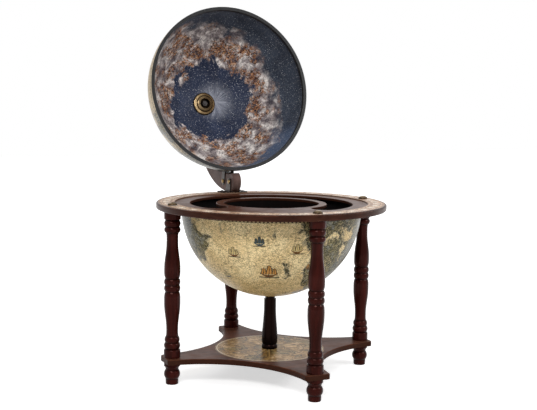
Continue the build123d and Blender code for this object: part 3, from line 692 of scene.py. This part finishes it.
def night_sky(name):
    """The lid's lining: a made-up night sky round a wreath of lit clouds, with a faint chart."""
    g = Surface(name)
    pole = LID_TURN @ Vector((0, 0, 1))
    east = LID_TURN @ Vector((1, 0, 0))
    north = LID_TURN @ Vector((0, 1, 0))
    outward = g.vector("NORMALIZE", g.vector("SUBTRACT", g.point, tuple(LID_CENTRE)))
    reach = g.divide(g.math("ARCCOSINE", g.dot(outward, tuple(pole))), math.pi / 2)
    x = g.dot(outward, tuple(east))
    y = g.dot(outward, tuple(north))

    # Noise shows its grid where coordinates are near 0, so they are shifted first
    place = g.vector("ADD", outward, SKY_NOISE_SHIFT)
    source = (pole + east * 0.15 - north * 0.03).normalized()
    colour = sky_background(g, outward, place, reach, y, source)

    # The wreath lies between two wandering edges, wider to the left and below in the open lid
    drift = g.times(g.minus(g.noise(place, 3.1, 7.0, 0.66, 0.4), 0.5), 0.55)
    spread = g.plus(reach, drift)
    inner = g.fade(g.minus(spread, g.times(x, 0.06)), 0.355, 0.38)
    lean = g.minus(g.times(x, 0.16), g.times(y, 0.09))
    wreath = g.both(inner, g.fade(g.plus(spread, lean), 0.70, 0.84, 1.0, 0.0))
    billow = g.noise(place, 7.0, 8.0, 0.68, 0.5)
    colour = lay_clouds(g, colour, place, wreath, billow)
    colour = lay_stars(g, colour, place, reach, g.turns(y, x), wreath)
    weave = g.noise(g.point, 620.0, 2.0)
    return g.finish(
        Base_Color=colour,
        Roughness=g.fade(billow, 0.3, 0.75, 0.40, 0.52),
        Normal=g.bump(weave, 0.00004, 0.4),
        Specular_IOR_Level=0.10,
    )


def calendar_band(name):
    """The printed band in the ring: scales of marks and a ring of framed fields, no lettering."""
    g = Surface(name)
    place = coordinates(g)
    turns = g.turns(place["Y"], place["X"])
    radius = g.divide(axis_distance(g), MM)
    inner = BAND_INNER_R / MM
    outer = BAND_OUTER_R / MM
    middle = inner + BAND_FIELDS_LEVEL
    tone = g.noise(g.point, 26.0, 5.0, 0.6)
    colour = g.ramp(tone, (0.32, rgb(192, 154, 124)), (0.66, rgb(236, 206, 176)))
    fine = g.noise(g.point, 130.0, 6.0, 0.76)
    colour = g.mix(g.fade(fine, 0.51, 0.59, 0.0, 0.75), colour, rgb(104, 66, 48))

    # Cream fields, and a scatter of small rings over all of them
    fields = g.band(radius, middle, 5.6, 0.3)
    cream = g.times(blocks(g, turns, BAND_FIELDS, 0.02), 0.75)
    colour = g.mix(g.both(cream, fields), colour, rgb(250, 240, 222))
    petals = g.band(g.cells(g.point, 150.0), 0.32, 0.05, 0.05)
    colour = g.mix(g.times(g.both(petals, fields), 0.75), colour, rgb(96, 58, 44))

    # Marks near both edges, bars between the panels, and lines all round
    fine_marks = g.both(blocks(g, turns, BAND_FINE_MARKS), g.band(radius, outer - 2.2, 0.9, 0.2))
    colour = g.mix(fine_marks, colour, rgb(84, 58, 46))
    marks = g.both(blocks(g, turns, BAND_MARKS), g.band(radius, inner + 5.4, 1.0, 0.2))
    colour = g.mix(marks, colour, rgb(112, 76, 60))
    bars = g.band(g.repeat(turns, BAND_PANELS), 0.5, 0.006, 0.004)
    bars = g.both(bars, g.band(radius, middle, 12.0, 0.3))
    colour = g.mix(g.times(bars, 0.8), colour, rgb(96, 66, 52))
    for level in (inner + 1.2, inner + 4.0, inner + 7.0, outer - 7.6, outer - 3.6, outer - 0.8):
        line = g.band(radius, level, 0.22, 0.22)
        colour = g.mix(g.times(line, 0.8), colour, rgb(104, 72, 58))
    return g.finish(
        Base_Color=colour,
        Roughness=g.fade(tone, 0.3, 0.75, 0.36, 0.48),
        Normal=g.bump(fine, 0.00003, 0.3),
        Specular_IOR_Level=PRINT_SHINE,
    )


def chart_disc(name):
    """The round map on the base plate: rhumb lines, rings and coasts in old gold and umber."""
    g = Surface(name)
    place = coordinates(g)
    turns = g.turns(place["Y"], place["X"])
    reach = g.divide(axis_distance(g), MAP_R)
    tone = g.noise(g.point, 17.0, 6.0, 0.62, 0.4)
    colour = g.ramp(
        tone, (0.34, rgb(116, 86, 42)), (0.50, rgb(154, 120, 68)), (0.64, rgb(200, 168, 128))
    )
    blotches = g.noise(g.point, 96.0, 5.0, 0.7, 0.8)
    colour = g.mix(g.fade(blotches, 0.50, 0.60, 0.0, 0.7), colour, rgb(78, 56, 30))
    colour = g.mix(g.fade(blotches, 0.36, 0.46, 0.7, 0.0), colour, rgb(216, 190, 160))
    coast = g.noise(g.point, 21.0, 8.0, 0.66, 0.6)
    land = g.fade(coast, 0.53, 0.545)
    colour = g.mix(g.times(land, 0.5), colour, rgb(112, 108, 70))
    colour = g.mix(g.band(coast, 0.537, 0.008, 0.010), colour, rgb(60, 46, 28))
    wedges = g.band(g.repeat(turns, MAP_WEDGES), 0.5, 0.07, 0.09)
    colour = g.mix(g.both(wedges, g.fade(reach, 0.2, 0.85, 0.6, 0.0)), colour, rgb(84, 68, 38))
    specks = g.fade(g.cells(g.point, 420.0), 0.12, 0.32, 0.6, 0.0)
    colour = g.mix(specks, colour, rgb(84, 62, 34))

    # Rhumb lines, about as wide at the rim as near the middle
    away = g.math("ABSOLUTE", g.minus(g.repeat(turns, RHUMB_LINES), 0.5))
    width = g.divide(0.006, g.plus(reach, 0.05))
    rhumb = g.fade(g.divide(away, width), 0.9, 1.9, 0.7, 0.0)
    colour = g.mix(rhumb, colour, rgb(78, 58, 34))

    # Compass rose of slim points, each half light and half dark
    points = g.repeat(turns, ROSE_POINTS)
    spread = g.times(g.math("ABSOLUTE", g.minus(points, 0.5)), 2.0)
    blade = g.plus(g.times(g.math("POWER", spread, 2.2), 0.62), 0.12)
    rose = g.fade(g.minus(blade, reach), -0.01, 0.01)
    half = g.fade(points, 0.495, 0.505)
    colour = g.mix(g.times(rose, 0.65), colour, g.mix(half, rgb(66, 46, 26), rgb(176, 142, 88)))

    # A pale border, rings and a scale of marks
    border = g.band(reach, 0.967, 0.012, 0.003)
    colour = g.mix(g.times(border, 0.7), colour, rgb(214, 190, 160))
    for level in (0.28, 0.62, 0.86, 0.95, 0.985):
        colour = g.mix(g.band(reach, level, 0.0035, 0.003), colour, rgb(62, 46, 28))
    scale = g.both(blocks(g, turns, MAP_MARKS), g.band(reach, 0.905, 0.018, 0.003))
    colour = g.mix(g.times(scale, 0.8), colour, rgb(84, 62, 38))
    return g.finish(
        Base_Color=colour,
        Roughness=g.fade(tone, 0.3, 0.75, 0.30, 0.42),
        Normal=g.bump(coast, 0.00003, 0.3),
        Specular_IOR_Level=PRINT_SHINE,
    )


def dress(material, *names):
    """Gives CAD nodes their material."""
    for name in names:
        piece = nodes[name]
        piece.data.materials.clear()
        piece.data.materials.append(material)


def ring_edge(graph):
    """The ring's rounded outer edge, and its edge beside the printed band."""
    radius = axis_distance(graph)
    return graph.either(
        graph.band(radius, RING_R - 1.0 * MM, 0.4 * MM, 0.4 * MM),
        graph.band(radius, BAND_INNER_R, 0.5 * MM, 0.5 * MM),
    )


def ring_inside(graph):
    """The bare strip of the ring's top inside the printed band."""
    strip = graph.fade(axis_distance(graph), BAND_INNER_R - 0.2 * MM, BAND_INNER_R, 0.75, 0.0)
    height = coordinates(graph)["Z"]
    return graph.both(strip, graph.fade(height, RING_TOP - 2.6 * MM, RING_TOP - 2.2 * MM))


def board_edge_shade(graph):
    """The insert board's sawn edges, below its top face, darkened with painted shade."""
    return graph.fade(coordinates(graph)["Z"], -1.0 * MM, -0.2 * MM, 0.95, 0.0)


def plate_edge(graph):
    """The upper rim of the base plate's outline."""
    return graph.band(coordinates(graph)["Z"], PLATE_TOP - 0.9 * MM, 0.5 * MM, 0.35 * MM)


def plate_side_shade(graph):
    """The base plate's sawn outline, below its upper rim, darkened with painted shade."""
    height = coordinates(graph)["Z"]
    return graph.fade(height, PLATE_TOP - 1.2 * MM, PLATE_TOP - 0.2 * MM, 0.9, 0.0)


def groove_shade(graph):
    """The grooves beside the beads of the posts and feet, darkened with painted shade."""
    post_middle = (POST_TOP + POST_BOTTOM) / 2
    levels = [POST_TOP - drop * MM for drop in GROOVES_UNDER_POST_TOP]
    levels += [POST_BOTTOM + rise * MM for rise in GROOVES_OVER_POST_BOTTOM]
    levels += [post_middle + rise * MM for rise in GROOVES_FROM_POST_MIDDLE]
    levels += [TABLE_Z + rise * MM for rise in GROOVES_OVER_TABLE]
    height = coordinates(graph)["Z"]
    grooves = graph.either(*[graph.band(height, level, 0.5 * MM, 2.0 * MM) for level in levels])
    return graph.times(grooves, 0.75)


mahogany = lacquered_wood(
    "mahogany", rgb(23, 7, 5), rgb(62, 21, 17), (70, 70, 7), 0.13, shine=0.11, painted_shade=groove_shade
)
board_wood = lacquered_wood(
    "board_wood", rgb(48, 25, 16), rgb(96, 58, 40), (9, 75, 75), 0.33, shine=0.07, painted_shade=board_edge_shade
)
plate_wood = lacquered_wood(
    "plate_wood",
    rgb(49, 28, 20),
    rgb(98, 62, 47),
    (9, 60, 60),
    0.40,
    shine=0.06,
    worn=plate_edge,
    painted_shade=plate_side_shade,
)
ring_wood = lacquered_wood(
    "ring_wood",
    rgb(33, 17, 12),
    rgb(62, 36, 26),
    (30, 30, 120),
    0.34,
    shine=0.10,
    worn=ring_edge,
    bare=ring_inside,
)
ebony = lacquered_wood("ebony", rgb(4, 3, 3), rgb(12, 8, 7), (60, 60, 8), 0.20, shine=0.07)
arc_wood = lacquered_wood("arc_wood", rgb(74, 58, 54), rgb(108, 88, 82), (90, 30, 30), 0.46)
# Near-black for the well's floor and tube and the glass floor
near_black = plain("near_black", rgb(8, 6, 5), rgb(16, 11, 10), 60.0, 0.8, shine=0.05)
rim_black = plain("rim_black", rgb(15, 15, 16), rgb(28, 28, 30), 90.0, 0.45, shine=0.3)
brass = metal("brass", rgb(150, 124, 82), rgb(64, 50, 32), 0.26, tarnish=0.75)
antique_brass = metal("antique_brass", rgb(104, 82, 60), rgb(48, 38, 29), 0.32)
steel = metal("steel", rgb(150, 146, 140), rgb(96, 92, 86), 0.30)
dull_steel = metal("dull_steel", rgb(64, 61, 60), rgb(34, 31, 30), 0.36)
bronze_paint = metal("bronze_paint", rgb(50, 40, 35), rgb(28, 24, 22), 0.42, metallic=0.6)

bowl_print = antique_map(
    "bowl_print", BOWL_CENTRE, UPRIGHT, BOWL_SEA_LONGITUDE, BOWL_PAPER, BOWL_SHIPS
)
lid_print = antique_map("lid_print", LID_CENTRE, LID_TURN, LID_SEA_LONGITUDE, LID_PAPER, LID_SHIPS)

dress(mahogany, *[f"post_{side}" for side in SIDES], *[f"foot_{side}" for side in SIDES])
dress(board_wood, "insert_board")
dress(plate_wood, "base_plate")
dress(ring_wood, "horizon_ring")
dress(ebony, "centre_column", "bowl_spacer", "pole_spacer")
dress(arc_wood, "meridian_arc")
dress(near_black, "well_floor", "well_tube", "glass_floor")
dress(rim_black, "lid_rim_hoop")
dress(brass_cup_painted_light("brass_cup_painted_light"), "pole_cup")
dress(brass, "rim_bracket_bolt", "rim_bracket_nut", "hinge_pin", "hinge_pin_cap")
dress(dull_steel, "pole_bolt", "pole_nut")
dress(antique_brass, "hinge_bush")
dress(brass_cap_painted_shade("brass_cap_painted_shade"), "ring_caps")
dress(steel, "tie_rod", "tie_washer", "tie_nut", "ring_screws", "foot_dowels", "insert_screws")
dress(
    bronze_paint,
    "hinge_bracket_left",
    "hinge_bracket_right",
    "hinge_screws",
    "rim_bracket_left",
    "rim_bracket_right",
    "rim_bracket_screws",
)
dress(bowl_print, "bowl_shell")
dress(lid_print, "lid_shell")
dress(night_sky("night_sky"), "lid_liner")
dress(calendar_band("calendar_band"), "horizon_band")
dress(chart_disc("chart_disc"), "base_map")


def light_path(graph):
    """The outputs that tell what kind of ray meets the surface."""
    return graph.tree.nodes.new("ShaderNodeLightPath").outputs


def seen(graph, ray):
    """1 for what the camera, a reflection or clear glass sees, and 0 for light on the object."""
    return graph.either(ray["Is Camera Ray"], ray["Is Glossy Ray"], ray["Is Transmission Ray"])


def stage():
    """A pale floor, and a world that is white to the camera and in reflections."""
    bpy.ops.mesh.primitive_plane_add(size=FLOOR_SIZE, location=(0, 0, TABLE_Z))
    floor = bpy.context.object
    floor.name = "floor"
    g = Surface("floor_paper")
    tone = g.noise(g.point, 3.0, 3.0)
    away = g.length(g.point)
    ray = light_path(g)
    glow = g.fade(away, FLOOR_GLOW_FROM, FLOOR_GLOW_TO, FLOOR_GLOW, 1.0)
    direct = g.fade(away, FLOOR_GLOW_FROM, FLOOR_GLOW_TO, FLOOR_GLOW_DIRECT, 1.0)
    brightest = g.either(glow, g.both(direct, ray["Is Camera Ray"]))
    floor.data.materials.append(
        g.finish(
            Base_Color=g.ramp(tone, (0.3, rgb(240, 240, 240)), (0.7, rgb(246, 246, 246))),
            Roughness=0.9,
            Specular_IOR_Level=0.1,
            Emission_Color=WHITE,
            Emission_Strength=g.both(seen(g, ray), brightest),
        )
    )

    world = bpy.data.worlds.new("studio")
    bpy.context.scene.world = world
    world.use_nodes = True
    tree = world.node_tree
    tree.nodes.clear()
    g = Graph(tree)
    strength = g.fade(seen(g, light_path(g)), 0.0, 1.0, WORLD_LIGHT, 1.0)
    background = g.add("ShaderNodeBackground", Color=WHITE, Strength=strength)
    output = tree.nodes.new("ShaderNodeOutputWorld")
    g.feed(output.inputs["Surface"], background)


def softbox(name, place, width, height, watts):
    """A rectangular lamp that faces the part."""
    lamp = bpy.data.lights.new(name, "AREA")
    lamp.shape = "RECTANGLE"
    lamp.size = width
    lamp.size_y = height
    lamp.energy = watts
    body = bpy.data.objects.new(name, lamp)
    bpy.context.scene.collection.objects.link(body)
    body.location = place
    aim = LAMP_AIM - Vector(place)
    body.rotation_euler = aim.to_track_quat("-Z", "Y").to_euler()


def camera():
    """The camera that took the photograph, in the part's frame."""
    turn = Matrix.Rotation(-CAMERA_AZIMUTH, 3, "Z")
    forward = Vector(
        (
            math.sin(CAMERA_YAW) * math.cos(CAMERA_DOWN),
            math.cos(CAMERA_YAW) * math.cos(CAMERA_DOWN),
            -math.sin(CAMERA_DOWN),
        )
    )
    level_right = Vector((math.cos(CAMERA_YAW), -math.sin(CAMERA_YAW), 0))
    level_down = forward.cross(level_right)
    right = math.cos(CAMERA_ROLL) * level_right + math.sin(CAMERA_ROLL) * level_down
    down = -math.sin(CAMERA_ROLL) * level_right + math.cos(CAMERA_ROLL) * level_down
    columns = [turn @ right, -(turn @ down), -(turn @ forward)]
    pose = Matrix(columns).transposed().to_4x4()
    pose.translation = turn @ Vector((0, -CAMERA_DISTANCE, CAMERA_HEIGHT))
    data = bpy.data.cameras.new("camera")
    data.sensor_width = SENSOR_MM
    data.lens = SENSOR_MM * FOCAL_PX / IMAGE_WIDTH
    body = bpy.data.objects.new("camera", data)
    body.matrix_world = pose
    bpy.context.scene.collection.objects.link(body)
    bpy.context.scene.camera = body


stage()
for lamp in LAMPS:
    softbox(*lamp)
camera()
bpy.context.scene.view_settings.view_transform = "Standard"

# Round faces are shaded smooth
for piece in nodes.values():
    piece.data.polygons.foreach_set("use_smooth", [True] * len(piece.data.polygons))
